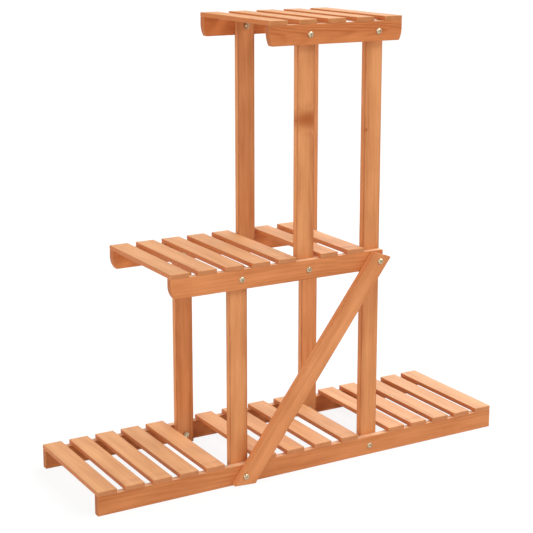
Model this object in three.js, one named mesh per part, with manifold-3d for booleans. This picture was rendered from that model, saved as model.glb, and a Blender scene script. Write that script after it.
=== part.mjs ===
// A tiered plant stand in stained softwood: three slatted shelves at different heights, carried by
// side rails that are bolted to the wide faces of flat posts, with one diagonal brace on the front.
//
// Millimetres, +Z up. X runs along the stand from its low end to its tall end, and the front faces
// -Y. The origin is the middle of the stand's box, on the floor.

import * as THREE from 'three';
import { mergeVertices } from 'three/addons/utils/BufferGeometryUtils.js';
import Module from 'manifold-3d';

const manifold = await Module();
manifold.setup();

// ---------------------------------------------------------------- driving sizes

// Along X, from the lower shelf's low end to its tall end, measured between post centre lines.
const LOWER_OVERHANG_LOW_END = 276; // lower shelf's low end to the short posts
const SHORT_TO_UPPER_POST = 135;
const UPPER_TO_TALL_POST = 140;
const LOWER_OVERHANG_TALL_END = 279; // tall posts to the lower shelf's tall end
const MIDDLE_OVERHANG = 135.5; // middle shelf's free end to the short posts
const TOP_OVERHANG_LOW_END = 81; // top shelf's low end to the upper posts
const TOP_OVERHANG_TALL_END = 49.5; // tall posts to the top shelf's tall end

// Across, and up. The lower rails stand on the floor.
const SLAT_LENGTH = 248; // from the front of the front rail to the back of the rear rail
const LOWER_TO_MIDDLE_RAIL = 354; // from one rail's underside to the next
const MIDDLE_TO_TOP_RAIL = 411;

// ---------------------------------------------------------------- timber sections

const RAIL_HEIGHT = 35;
const RAIL_THICKNESS = 13;
const POST_WIDTH = 35;
const POST_THICKNESS = 13;
const SLAT_WIDTH = 36;
const SLAT_THICKNESS = 8;
const BRACE_WIDTH = 35;
const BRACE_THICKNESS = 13;
const EASED_EDGE = 1.5; // every sawn edge is rounded over by this much

// ---------------------------------------------------------------- slats

// How many slats fill each run of a shelf, between its ends and the posts. Gaps share what is left.
const LOWER_LOW_END_SLATS = 5;
const LOWER_BETWEEN_POSTS_SLATS = 4;
const LOWER_TALL_END_SLATS = 5;
const MIDDLE_LOW_END_SLATS = 5;
const MIDDLE_BETWEEN_POSTS_SLATS = 2;
const TOP_SLATS = 5;

// The free strip between a post and the slat beside it, on its low-end and tall-end side.
const LOWER_SHORT_POST_SPACE_BEFORE = 17.5;
const LOWER_SHORT_POST_SPACE_AFTER = 16;
const LOWER_TALL_POST_SPACE_BEFORE = 13;
const LOWER_TALL_POST_SPACE_AFTER = 20.5;
const MIDDLE_UPPER_POST_SPACE_BEFORE = 8.5;
const MIDDLE_UPPER_POST_SPACE_AFTER = 7;
const MIDDLE_TALL_POST_SPACE_BEFORE = 5.5;

// ---------------------------------------------------------------- rail ends

// A rail's shaped end keeps its upper part square and curves in below, down to its lower edge.
const RAIL_END_CURVE_HEIGHT = 22;
const MIDDLE_RAIL_END_INSET = 8;
const TOP_RAIL_END_INSET = 5.5;

// ---------------------------------------------------------------- bolts and nuts

const BOLT_DIAMETER = 6;
const BORE_CLEARANCE = 0.4; // on the radius, between a bolt and the wood round it
const BOLT_HEAD_DIAMETER = 11;
const BOLT_HEAD_HEIGHT = 3.4;
const BOLT_HEAD_RIM = 0.8; // the straight rim under the domed part of the head
const BOLT_TIP = 1.5; // thread showing past the nut
const SOCKET_ACROSS_FLATS = 4;
const SOCKET_DEPTH = 2;
const NUT_ACROSS_FLATS = 10;
const NUT_HEIGHT = 5;

// The two bolts that stand off their post's centre line, both on the front.
const FRONT_TALL_FOOT_BOLT_SHIFT = -5;
const BRACE_HEAD_BOLT_SHIFT = 3;

// ---------------------------------------------------------------- diagonal brace

const BRACE_FOOT_BOLT_SIDE = 8; // the brace's centre line lies this far below its lower bolt
const BRACE_HEAD_BOLT_SIDE = -2; // and this far, the other way, from its upper bolt
const BRACE_FOOT_LIFT = 2; // the middle of the lower cut, above the floor
const BRACE_FOOT_CUT = THREE.MathUtils.degToRad(-3.5);
const BRACE_HEAD_REACH = 13; // from the upper bolt to the upper cut, along the brace
const BRACE_HEAD_CUT = THREE.MathUtils.degToRad(-20);

// ---------------------------------------------------------------- finishes

const RAIL_COLOUR = '#c4774a';
const POST_COLOUR = '#cb7f4e';
const SLAT_COLOUR = '#dd9a68';
const WOOD_ROUGHNESS = 0.55;
const ZINC_COLOUR = '#cfc4a6';
const ZINC_ROUGHNESS = 0.35;

// ---------------------------------------------------------------- facets

const EASED_EDGE_STEPS = 2;
const END_CURVE_STEPS = 5;
const BORE_SIDES = 16;
const BOLT_SIDES = 16;
const DOME_STEPS = 3;

// ---------------------------------------------------------------- derived places

const HALF_TURN = Math.PI;
const QUARTER_TURN = Math.PI / 2;
const SHORT_POST_X = LOWER_OVERHANG_LOW_END;
const UPPER_POST_X = SHORT_POST_X + SHORT_TO_UPPER_POST;
const TALL_POST_X = UPPER_POST_X + UPPER_TO_TALL_POST;
const LOWER_RAIL_LENGTH = TALL_POST_X + LOWER_OVERHANG_TALL_END;
const MIDDLE_RAIL_UNDERSIDE = LOWER_TO_MIDDLE_RAIL;
const TOP_RAIL_UNDERSIDE = MIDDLE_RAIL_UNDERSIDE + MIDDLE_TO_TOP_RAIL;
const HALF_POST = POST_WIDTH / 2;
const RAIL_MIDDLE = RAIL_HEIGHT / 2;
const FRONT_RAIL_FACE = -SLAT_LENGTH / 2;
const REAR_RAIL_FACE = SLAT_LENGTH / 2;
const MIDDLE_RAIL_START = SHORT_POST_X - MIDDLE_OVERHANG;
const MIDDLE_RAIL_END = TALL_POST_X + HALF_POST;
const TOP_RAIL_START = UPPER_POST_X - TOP_OVERHANG_LOW_END;
const TOP_RAIL_END = TALL_POST_X + TOP_OVERHANG_TALL_END;
const BORE_RADIUS = (BOLT_DIAMETER / 2 + BORE_CLEARANCE) / Math.cos(Math.PI / BORE_SIDES);

// Each joint is one bolt through a rail and a post, on the front and again on the rear.
const JOINTS = [
  { name: 'lower_short', shelf: 'lower', post: 'short', underside: 0, x: SHORT_POST_X, braced: true },
  {
    name: 'lower_tall', shelf: 'lower', post: 'tall', underside: 0, x: TALL_POST_X,
    frontShift: FRONT_TALL_FOOT_BOLT_SHIFT,
  },
  { name: 'middle_short', shelf: 'middle', post: 'short', underside: MIDDLE_RAIL_UNDERSIDE, x: SHORT_POST_X },
  { name: 'middle_upper', shelf: 'middle', post: 'upper', underside: MIDDLE_RAIL_UNDERSIDE, x: UPPER_POST_X },
  {
    name: 'middle_tall', shelf: 'middle', post: 'tall', underside: MIDDLE_RAIL_UNDERSIDE, x: TALL_POST_X,
    frontShift: BRACE_HEAD_BOLT_SHIFT, braced: true,
  },
  { name: 'top_upper', shelf: 'top', post: 'upper', underside: TOP_RAIL_UNDERSIDE, x: UPPER_POST_X },
  { name: 'top_tall', shelf: 'top', post: 'tall', underside: TOP_RAIL_UNDERSIDE, x: TALL_POST_X },
];

// The bolts of one side of the stand, each at its place in the XZ plane.
function boltsOf(side) {
  return JOINTS.map((joint) => ({
    ...joint,
    x: joint.x + (side === 'front' ? joint.frontShift ?? 0 : 0),
    z: joint.underside + RAIL_MIDDLE,
    braced: side === 'front' && joint.braced === true,
  }));
}

// ---------------------------------------------------------------- solids

// A closed geometry as a solid that can be joined and cut.
function toSolid(geometry) {
  const bare = geometry.clone();
  bare.deleteAttribute('normal');
  bare.deleteAttribute('uv');
  const merged = mergeVertices(bare, 1e-4);
  return new manifold.Manifold(new manifold.Mesh({
    numProp: 3,
    vertProperties: new Float32Array(merged.attributes.position.array),
    triVerts: new Uint32Array(merged.index.array),
  }));
}

function toGeometry(solid) {
  const mesh = solid.getMesh();
  const geometry = new THREE.BufferGeometry();
  geometry.setAttribute('position', new THREE.BufferAttribute(mesh.vertProperties, 3));
  geometry.setIndex(new THREE.BufferAttribute(mesh.triVerts, 1));
  geometry.computeVertexNormals();
  return geometry;
}

// A board of this outline, from z = 0 to its thickness, with both faces' edges rounded over.
function boardGeometry(outline, thickness) {
  const geometry = new THREE.ExtrudeGeometry(outline, {
    depth: thickness - 2 * EASED_EDGE,
    bevelThickness: EASED_EDGE,
    bevelSize: EASED_EDGE,
    bevelOffset: -EASED_EDGE,
    bevelSegments: EASED_EDGE_STEPS,
    curveSegments: END_CURVE_STEPS,
  });
  geometry.translate(0, 0, EASED_EDGE);
  return geometry;
}

// The same board with a bolt's bore through it at each of these places.
function boredBoard(outline, thickness, bores) {
  let board = toSolid(boardGeometry(outline, thickness));
  for (const bore of bores) {
    const drill = new THREE.CylinderGeometry(BORE_RADIUS, BORE_RADIUS, 3 * thickness, BORE_SIDES);
    drill.rotateX(QUARTER_TURN);
    drill.translate(bore.x, bore.z, 0);
    board = board.subtract(toSolid(drill));
  }
  return toGeometry(board);
}

function rectangle(left, bottom, width, height) {
  const shape = new THREE.Shape();
  shape.moveTo(left, bottom);
  shape.lineTo(left + width, bottom);
  shape.lineTo(left + width, bottom + height);
  shape.lineTo(left, bottom + height);
  shape.closePath();
  return shape;
}

// The radius of an arc that leaves the end square and reaches the lower edge this far in.
function endCurveRadius(inset) {
  return (RAIL_END_CURVE_HEIGHT ** 2 + inset ** 2) / (2 * inset);
}

// A rail seen from the front, from x = start to end, with its lower edge at the given height.
function railOutline(start, end, underside, startInset, endInset) {
  const curveTop = underside + RAIL_END_CURVE_HEIGHT;
  const shape = new THREE.Shape();
  shape.moveTo(end, underside + RAIL_HEIGHT);
  shape.lineTo(start, underside + RAIL_HEIGHT);
  if (startInset > 0) {
    const radius = endCurveRadius(startInset);
    const sweep = Math.asin(RAIL_END_CURVE_HEIGHT / radius);
    shape.absarc(start + radius, curveTop, radius, HALF_TURN, HALF_TURN + sweep, false);
  } else {
    shape.lineTo(start, underside);
  }
  if (endInset > 0) {
    const radius = endCurveRadius(endInset);
    const sweep = Math.asin(RAIL_END_CURVE_HEIGHT / radius);
    shape.absarc(end - radius, curveTop, radius, -sweep, 0, false);
  } else {
    shape.lineTo(end, underside);
  }
  shape.closePath();
  return shape;
}

// ---------------------------------------------------------------- pieces

function woodMesh(name, geometry, colour) {
  const material = new THREE.MeshStandardMaterial({ color: colour, roughness: WOOD_ROUGHNESS, metalness: 0 });
  const mesh = new THREE.Mesh(geometry, material);
  mesh.name = name;
  return mesh;
}

// Stands a board that was drawn lying down on its lower edge, with its front face at this Y.
function standUp(mesh, frontFace, thickness) {
  mesh.rotation.x = QUARTER_TURN;
  mesh.position.y = frontFace + thickness;
  return mesh;
}

const SHELF_RAILS = {
  lower: { start: 0, end: LOWER_RAIL_LENGTH, underside: 0, startInset: 0, endInset: 0 },
  middle: {
    start: MIDDLE_RAIL_START, end: MIDDLE_RAIL_END, underside: MIDDLE_RAIL_UNDERSIDE,
    startInset: MIDDLE_RAIL_END_INSET, endInset: 0,
  },
  top: {
    start: TOP_RAIL_START, end: TOP_RAIL_END, underside: TOP_RAIL_UNDERSIDE,
    startInset: TOP_RAIL_END_INSET, endInset: TOP_RAIL_END_INSET,
  },
};

function rail(shelf, side) {
  const { start, end, underside, startInset, endInset } = SHELF_RAILS[shelf];
  const outline = railOutline(start, end, underside, startInset, endInset);
  const bores = boltsOf(side).filter((bolt) => bolt.shelf === shelf);
  const mesh = woodMesh(`${shelf}_rail_${side}`, boredBoard(outline, RAIL_THICKNESS, bores), RAIL_COLOUR);
  const frontFace = side === 'front' ? FRONT_RAIL_FACE : REAR_RAIL_FACE - RAIL_THICKNESS;
  return standUp(mesh, frontFace, RAIL_THICKNESS);
}

const POSTS = {
  short: { x: SHORT_POST_X, foot: 0, head: MIDDLE_RAIL_UNDERSIDE + RAIL_HEIGHT },
  upper: { x: UPPER_POST_X, foot: MIDDLE_RAIL_UNDERSIDE, head: TOP_RAIL_UNDERSIDE + RAIL_HEIGHT },
  tall: { x: TALL_POST_X, foot: 0, head: TOP_RAIL_UNDERSIDE + RAIL_HEIGHT },
};

function post(kind, side) {
  const { x, foot, head } = POSTS[kind];
  const outline = rectangle(x - HALF_POST, foot, POST_WIDTH, head - foot);
  const bores = boltsOf(side).filter((bolt) => bolt.post === kind);
  const mesh = woodMesh(`${kind}_post_${side}`, boredBoard(outline, POST_THICKNESS, bores), POST_COLOUR);
  const frontFace = side === 'front'
    ? FRONT_RAIL_FACE + RAIL_THICKNESS
    : REAR_RAIL_FACE - RAIL_THICKNESS - POST_THICKNESS;
  return standUp(mesh, frontFace, POST_THICKNESS);
}

// Each run of slats: where it starts and ends, and how many slats share it.
const SLAT_RUNS = {
  lower: [
    {
      from: 0,
      to: SHORT_POST_X - HALF_POST - LOWER_SHORT_POST_SPACE_BEFORE,
      count: LOWER_LOW_END_SLATS,
    },
    {
      from: SHORT_POST_X + HALF_POST + LOWER_SHORT_POST_SPACE_AFTER,
      to: TALL_POST_X - HALF_POST - LOWER_TALL_POST_SPACE_BEFORE,
      count: LOWER_BETWEEN_POSTS_SLATS,
    },
    {
      from: TALL_POST_X + HALF_POST + LOWER_TALL_POST_SPACE_AFTER,
      to: LOWER_RAIL_LENGTH,
      count: LOWER_TALL_END_SLATS,
    },
  ],
  middle: [
    {
      from: MIDDLE_RAIL_START,
      to: UPPER_POST_X - HALF_POST - MIDDLE_UPPER_POST_SPACE_BEFORE,
      count: MIDDLE_LOW_END_SLATS,
    },
    {
      from: UPPER_POST_X + HALF_POST + MIDDLE_UPPER_POST_SPACE_AFTER,
      to: TALL_POST_X - HALF_POST - MIDDLE_TALL_POST_SPACE_BEFORE,
      count: MIDDLE_BETWEEN_POSTS_SLATS,
    },
  ],
  top: [{ from: TOP_RAIL_START, to: TOP_RAIL_END, count: TOP_SLATS }],
};

// The low-end edges of a run's slats, evenly spaced, the first and the last flush with its ends.
function slatPlaces({ from, to, count }) {
  const pitch = (to - from - SLAT_WIDTH) / (count - 1);
  return Array.from({ length: count }, (_, index) => from + index * pitch);
}

function slats(shelf) {
  const underside = SHELF_RAILS[shelf].underside + RAIL_HEIGHT;
  return SLAT_RUNS[shelf].flatMap(slatPlaces).map((left, index) => {
    const outline = rectangle(0, FRONT_RAIL_FACE, SLAT_WIDTH, SLAT_LENGTH);
    const name = `${shelf}_slat_${String(index + 1).padStart(2, '0')}`;
    const mesh = woodMesh(name, boardGeometry(outline, SLAT_THICKNESS), SLAT_COLOUR);
    mesh.position.set(left, 0, underside);
    return mesh;
  });
}

// Where a cut through the brace's centre line meets one of its long edges.
function braceCorner(cutCentre, cutAngle, across, edgeDistance) {
  const cut = new THREE.Vector2(Math.cos(cutAngle), Math.sin(cutAngle));
  return cut.multiplyScalar(edgeDistance / cut.dot(across)).add(cutCentre);
}

// The brace seen from the front: a board whose long edges clear its two bolts by named distances,
// cut almost level at the floor and on a slope beside the middle rail's end.
function braceOutline(foot, head) {
  const span = new THREE.Vector2(head.x - foot.x, head.z - foot.z);
  const drift = Math.asin((BRACE_FOOT_BOLT_SIDE - BRACE_HEAD_BOLT_SIDE) / span.length());
  const angle = span.angle() + drift;
  const along = new THREE.Vector2(Math.cos(angle), Math.sin(angle));
  const across = new THREE.Vector2(along.y, -along.x);
  const start = new THREE.Vector2(foot.x, foot.z).addScaledVector(across, BRACE_FOOT_BOLT_SIDE);
  const end = new THREE.Vector2(head.x, head.z).addScaledVector(across, BRACE_HEAD_BOLT_SIDE);
  const footCut = start.addScaledVector(along, (BRACE_FOOT_LIFT - start.y) / along.y);
  const headCut = end.addScaledVector(along, BRACE_HEAD_REACH);
  const half = BRACE_WIDTH / 2;
  return new THREE.Shape([
    braceCorner(footCut, BRACE_FOOT_CUT, across, -half),
    braceCorner(footCut, BRACE_FOOT_CUT, across, half),
    braceCorner(headCut, BRACE_HEAD_CUT, across, half),
    braceCorner(headCut, BRACE_HEAD_CUT, across, -half),
  ]);
}

function brace() {
  const [foot, head] = boltsOf('front').filter((bolt) => bolt.braced);
  const geometry = boredBoard(braceOutline(foot, head), BRACE_THICKNESS, [foot, head]);
  const mesh = woodMesh('diagonal_brace', geometry, POST_COLOUR);
  return standUp(mesh, FRONT_RAIL_FACE - BRACE_THICKNESS, BRACE_THICKNESS);
}

// A hexagonal prism between two heights, along Z.
function hexPrism(acrossFlats, from, to) {
  const radius = acrossFlats / 2 / Math.cos(Math.PI / 6);
  const geometry = new THREE.CylinderGeometry(radius, radius, to - from, 6);
  geometry.rotateX(QUARTER_TURN);
  geometry.translate(0, 0, (from + to) / 2);
  return geometry;
}

// A button-head bolt with its nut run on, along Z: the seat of the head is at z = 0, the shank runs
// down through the grip, and the nut bears on the far side of it.
function boltGeometry(grip) {
  const shank = BOLT_DIAMETER / 2;
  const headRadius = BOLT_HEAD_DIAMETER / 2;
  const tip = -(grip + NUT_HEIGHT + BOLT_TIP);
  const profile = [new THREE.Vector2(0, tip), new THREE.Vector2(shank, tip), new THREE.Vector2(shank, 0)];
  profile.push(new THREE.Vector2(headRadius, 0));
  for (let step = 0; step < DOME_STEPS; step += 1) {
    const angle = (QUARTER_TURN * step) / DOME_STEPS;
    const rise = (BOLT_HEAD_HEIGHT - BOLT_HEAD_RIM) * Math.sin(angle);
    profile.push(new THREE.Vector2(headRadius * Math.cos(angle), BOLT_HEAD_RIM + rise));
  }
  profile.push(new THREE.Vector2(0, BOLT_HEAD_HEIGHT));
  const turned = new THREE.LatheGeometry(profile, BOLT_SIDES);
  turned.rotateX(QUARTER_TURN);
  const socket = hexPrism(SOCKET_ACROSS_FLATS, BOLT_HEAD_HEIGHT - SOCKET_DEPTH, 2 * BOLT_HEAD_HEIGHT);
  const nut = hexPrism(NUT_ACROSS_FLATS, -(grip + NUT_HEIGHT), -grip);
  return toGeometry(toSolid(turned).subtract(toSolid(socket)).add(toSolid(nut)));
}

// The bolt of one joint, with its head on the outside of the stand and its nut on the inside.
function bolt(joint, side) {
  const grip = RAIL_THICKNESS + POST_THICKNESS + (joint.braced ? BRACE_THICKNESS : 0);
  const seat = FRONT_RAIL_FACE - (joint.braced ? BRACE_THICKNESS : 0);
  const material = new THREE.MeshStandardMaterial({
    color: ZINC_COLOUR, roughness: ZINC_ROUGHNESS, metalness: 1,
  });
  const mesh = new THREE.Mesh(boltGeometry(grip), material);
  mesh.name = `bolt_${joint.name}_${side}`;
  mesh.rotation.x = side === 'front' ? QUARTER_TURN : -QUARTER_TURN;
  mesh.position.set(joint.x, side === 'front' ? seat : REAR_RAIL_FACE, joint.z);
  return mesh;
}

// ---------------------------------------------------------------- assembly

function shelf(name) {
  const group = new THREE.Group();
  group.add(rail(name, 'front'), rail(name, 'rear'), ...slats(name));
  return group;
}

function posts() {
  const group = new THREE.Group();
  for (const kind of Object.keys(POSTS)) {
    group.add(post(kind, 'front'), post(kind, 'rear'));
  }
  return group;
}

function bolts() {
  const group = new THREE.Group();
  for (const side of ['front', 'rear']) {
    group.add(...boltsOf(side).map((joint) => bolt(joint, side)));
  }
  return group;
}

const plantStand = new THREE.Group();
plantStand.add(shelf('lower'), shelf('middle'), shelf('top'), posts(), brace(), bolts());

// The brace stands proud of the front only, so the box's middle is half its thickness forward.
plantStand.position.set(-LOWER_RAIL_LENGTH / 2, BRACE_THICKNESS / 2, 0);

export default plantStand;
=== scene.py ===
"""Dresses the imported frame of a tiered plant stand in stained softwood.

Every board is modelled again with rounded arrises, shaped ends and drilled bores, each bolt gets its
domed head, hexagon socket and thread, and each nut its chamfered corners. Lengths are in metres, +Z is
up, X runs from the stand's low end to its tall end, and the front faces -Y.
"""

import logging
import math
import random
from collections.abc import Iterator
from contextlib import contextmanager
from dataclasses import dataclass, field, replace
from enum import Enum

import bmesh
import bpy
from mathutils import Euler, Matrix, Vector


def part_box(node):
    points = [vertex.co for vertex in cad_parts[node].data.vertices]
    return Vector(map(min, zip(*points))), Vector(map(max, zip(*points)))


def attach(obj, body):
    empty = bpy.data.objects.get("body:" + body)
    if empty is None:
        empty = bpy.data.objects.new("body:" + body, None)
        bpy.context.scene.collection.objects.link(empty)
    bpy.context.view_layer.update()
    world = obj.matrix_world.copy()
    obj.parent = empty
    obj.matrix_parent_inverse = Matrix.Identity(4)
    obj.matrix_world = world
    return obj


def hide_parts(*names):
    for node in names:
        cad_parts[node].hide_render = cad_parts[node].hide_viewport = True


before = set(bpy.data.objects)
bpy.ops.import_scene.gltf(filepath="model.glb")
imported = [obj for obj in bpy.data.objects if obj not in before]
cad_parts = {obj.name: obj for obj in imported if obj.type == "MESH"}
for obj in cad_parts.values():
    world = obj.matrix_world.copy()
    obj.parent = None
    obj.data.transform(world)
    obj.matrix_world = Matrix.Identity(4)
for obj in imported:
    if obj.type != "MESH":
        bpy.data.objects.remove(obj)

Piece = bpy.types.Object
Socket = bpy.types.NodeSocket

log = logging.getLogger("plant_stand")

BODY = "root"
MILLIMETRE = 0.001
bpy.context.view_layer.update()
ARRIS_ANGLE = math.radians(25)  # an edge sharper than this is rounded over
END_NORMAL = 0.9  # how nearly the normal of a rod's end lies along Z


# ------------------------------------------------------------------ named options


class Side(Enum):
    """The two long sides of the stand."""

    FRONT = "front"
    REAR = "rear"

    @property
    def outward(self) -> float:
        """The sign of Y that points away from the stand on this side."""
        return -1.0 if self is Side.FRONT else 1.0


class Grain(Enum):
    """The turn that lays a board's length, width and thickness, its own X, Y and Z, in the stand."""

    ALONG_X = (math.pi / 2, 0.0, 0.0)
    ALONG_Y = (0.0, 0.0, math.pi / 2)
    ALONG_Z = (-math.pi / 2, -math.pi / 2, 0.0)


class Slot(Enum):
    """The record's material slots."""

    SLAT = "slat_wood"
    RAIL = "rail_wood"
    POST = "post_wood"
    ZINC = "zinc"


# ------------------------------------------------------------------ shaping with the modelling tools


class Workbench:
    """Blender's modelling operators, as they are used on one piece at a time."""

    @staticmethod
    def hold(piece: Piece) -> None:
        """Makes the piece the only selected object and the active one.

        Args:
            piece: The piece.
        """
        bpy.ops.object.select_all(action="DESELECT")
        piece.select_set(True)
        bpy.context.view_layer.objects.active = piece

    @staticmethod
    @contextmanager
    def editing(piece: Piece) -> Iterator[None]:
        """Keeps the piece in edit mode for the length of a with block.

        Args:
            piece: The piece.
        """
        Workbench.hold(piece)
        bpy.ops.object.mode_set(mode="EDIT")
        yield
        bpy.ops.object.mode_set(mode="OBJECT")

    @staticmethod
    def block(name: str, low: Vector, high: Vector) -> Piece:
        """Adds a block between its lowest and its highest corner, with its place in its mesh."""
        bpy.ops.mesh.primitive_cube_add(size=1, location=(low + high) / 2, scale=high - low)
        return Workbench.settle(name)

    @staticmethod
    def rod(name: str, radius: float, start: Vector, end: Vector, sides: int) -> Piece:
        """Adds an upright or level rod between the centres of its two ends.

        Args:
            name: The piece's name.
            radius: The radius of its corners.
            start: The centre of one end.
            end: The centre of the other end.
            sides: How many sides it has.

        Returns:
            The piece, with its place in its mesh.
        """
        run = end - start
        bpy.ops.mesh.primitive_cylinder_add(
            vertices=sides,
            radius=radius,
            depth=run.length,
            location=(start + end) / 2,
            rotation=run.to_track_quat("Z", "Y").to_euler(),
        )
        return Workbench.settle(name)

    @staticmethod
    def settle(name: str) -> Piece:
        """Names the new object and moves its place, turn and size into its mesh.

        Args:
            name: The name of the object and its mesh.

        Returns:
            The object, at the origin.
        """
        piece = bpy.context.object
        piece.name = name
        piece.data.name = name
        bpy.ops.object.transform_apply(location=True, rotation=True, scale=True)
        return piece

    @staticmethod
    def pick_end(piece: Piece, sign: float) -> None:
        """Selects the faces at one end of a rod along Z, in edit mode, and nothing else.

        Args:
            piece: The piece being edited.
            sign: 1 for its upper end, or -1 for its lower one.
        """
        bpy.ops.mesh.select_mode(type="FACE")
        bpy.ops.mesh.select_all(action="DESELECT")
        shape = bmesh.from_edit_mesh(piece.data)
        for face in shape.faces:
            face.select_set(sign * face.normal.z > END_NORMAL)
        bmesh.update_edit_mesh(piece.data)

    @staticmethod
    def slice_off(point: Vector, outward: Vector) -> None:
        """Cuts away what lies outward of a point's plane, in edit mode, and closes the cut."""
        bpy.ops.mesh.select_all(action="SELECT")
        bpy.ops.mesh.bisect(plane_co=point, plane_no=outward, use_fill=True, clear_outer=True)

    @staticmethod
    def ease_arrises(piece: Piece, radius: float, steps: int) -> None:
        """Rounds every sharp edge over.

        Args:
            piece: The piece.
            radius: The radius of the rounding.
            steps: How many strips each rounding has.
        """
        with Workbench.editing(piece):
            bpy.ops.mesh.select_mode(type="EDGE")
            bpy.ops.mesh.select_all(action="DESELECT")
            bpy.ops.mesh.edges_select_sharp(sharpness=ARRIS_ANGLE)
            bpy.ops.mesh.bevel(offset=radius, offset_type="OFFSET", segments=steps, profile=0.5)

    @staticmethod
    def combine(piece: Piece, tool: Piece, operation: str) -> None:
        """Cuts or keeps what the tool covers, and removes the tool.

        Args:
            piece: The piece that is shaped.
            tool: The cutter.
            operation: DIFFERENCE or INTERSECT.
        """
        Workbench.hold(piece)
        cut = piece.modifiers.new("cut", "BOOLEAN")
        cut.operation = operation
        cut.solver = "EXACT"
        cut.object = tool
        bpy.ops.object.modifier_apply(modifier=cut.name)
        bpy.data.objects.remove(tool)

    @staticmethod
    def polish(piece: Piece, sharp_angle: float) -> None:
        """Shades the piece smoothly, with its flat faces left flat.

        Args:
            piece: The piece.
            sharp_angle: Edges sharper than this stay crisp.
        """
        Workbench.hold(piece)
        bpy.ops.object.shade_smooth_by_angle(angle=sharp_angle)
        weighting = piece.modifiers.new("weighting", "WEIGHTED_NORMAL")
        weighting.keep_sharp = True
        bpy.ops.object.modifier_apply(modifier=weighting.name)

    @staticmethod
    def copy(piece: Piece, name: str, place: Matrix) -> Piece:
        """Copies a piece with a mesh of its own.

        Args:
            piece: The piece that was modelled.
            name: The copy's name.
            place: The move that takes the copy's mesh to its place.

        Returns:
            The copy, at the origin.
        """
        copied = piece.copy()
        copied.data = piece.data.copy()
        copied.name = name
        copied.data.name = name
        copied.data.transform(place)
        bpy.context.scene.collection.objects.link(copied)
        return copied


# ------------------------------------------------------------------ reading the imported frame


class Workshop:
    """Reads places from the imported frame."""

    @staticmethod
    def centre(node: str) -> Vector:
        """The middle of a node's box."""
        low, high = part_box(node)
        return (low + high) / 2

    @staticmethod
    def nodes(*parts: str) -> list[str]:
        """The names of the nodes that hold all these words, in order."""
        return sorted(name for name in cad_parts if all(part in name for part in parts))

    @staticmethod
    def centres(*parts: str) -> list[Vector]:
        """The middles of the nodes whose names hold all these words, in the names' order."""
        return [Workshop.centre(node) for node in Workshop.nodes(*parts)]


# ------------------------------------------------------------------ material nodes


@dataclass(frozen=True)
class Layer:
    """One layer of noise: features per metre along and across the grain, and how much it weighs."""

    along: float
    across: float
    detail: float
    rough: float = 0.5
    weight: float = 1.0


class NodeBench:
    """Short calls for wiring the nodes of a material or of the world."""

    def __init__(self, tree: bpy.types.NodeTree) -> None:
        """Takes up a node tree."""
        self.tree = tree

    def feed(self, socket: Socket, value: object) -> None:
        """Wires a socket to another one, or sets it.

        Args:
            socket: The input.
            value: The output it is wired to, or its number, vector or colour.
        """
        if isinstance(value, Socket):
            self.tree.links.new(value, socket)
        else:
            socket.default_value = value

    def add(self, kind: str, inputs: dict[int | str, object]) -> bpy.types.Node:
        """Adds a node and feeds it.

        Args:
            kind: The node's type.
            inputs: What each of its inputs is wired or set to, by the input's number or name.

        Returns:
            The node.
        """
        node = self.tree.nodes.new(kind)
        for name, value in inputs.items():
            self.feed(node.inputs[name], value)
        return node

    def vector(self, operation: str, *values: object, output: str = "Vector") -> Socket:
        """One step of vector arithmetic.

        Args:
            operation: The Vector Math node's operation.
            values: Its inputs.
            output: The output that is used.

        Returns:
            The result.
        """
        node = self.add("ShaderNodeVectorMath", dict(enumerate(values)))
        node.operation = operation
        return node.outputs[output]

    def math(self, operation: str, *values: object, clamp: bool = False) -> Socket:
        """One step of arithmetic.

        Args:
            operation: The Math node's operation.
            values: Its inputs.
            clamp: Whether the result is kept from 0 to 1.

        Returns:
            The result.
        """
        node = self.add("ShaderNodeMath", dict(enumerate(values)))
        node.operation = operation
        node.use_clamp = clamp
        return node.outputs[0]

    def noise(self, place: Socket, layer: Layer) -> Socket:
        """Noise from 0 to 1.

        Args:
            place: The place it is read at.
            layer: How fine it is.

        Returns:
            The noise.
        """
        stretch = (layer.along, layer.across, layer.across)
        inputs = {
            "Vector": self.vector("MULTIPLY", place, stretch),
            "Scale": 1.0,
            "Detail": layer.detail,
            "Roughness": layer.rough,
        }
        return self.add("ShaderNodeTexNoise", inputs).outputs["Fac"]

    def remap(self, value: object, lowest: float, highest: float, start: float, end: float) -> Socket:
        """Maps a range smoothly to another one.

        Args:
            value: The value.
            lowest: Where the range starts.
            highest: Where it ends.
            start: What the start becomes.
            end: What the end becomes.

        Returns:
            The value in the new range.
        """
        numbers = (value, lowest, highest, start, end)
        node = self.add("ShaderNodeMapRange", dict(enumerate(numbers)))
        node.interpolation_type = "SMOOTHSTEP"
        return node.outputs["Result"]

    def blend(self, share: object, first: object, second: object) -> Socket:
        """Mixes two colours.

        Args:
            share: The share of the second one.
            first: The first colour.
            second: The second colour.

        Returns:
            The mixed colour.
        """
        node = self.add("ShaderNodeMix", {"Factor": share})
        node.data_type = "RGBA"
        colour_inputs = [socket for socket in node.inputs if socket.type == "RGBA"]
        for socket, colour in zip(colour_inputs, (first, second)):
            self.feed(socket, colour)
        return next(socket for socket in node.outputs if socket.type == "RGBA")


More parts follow.
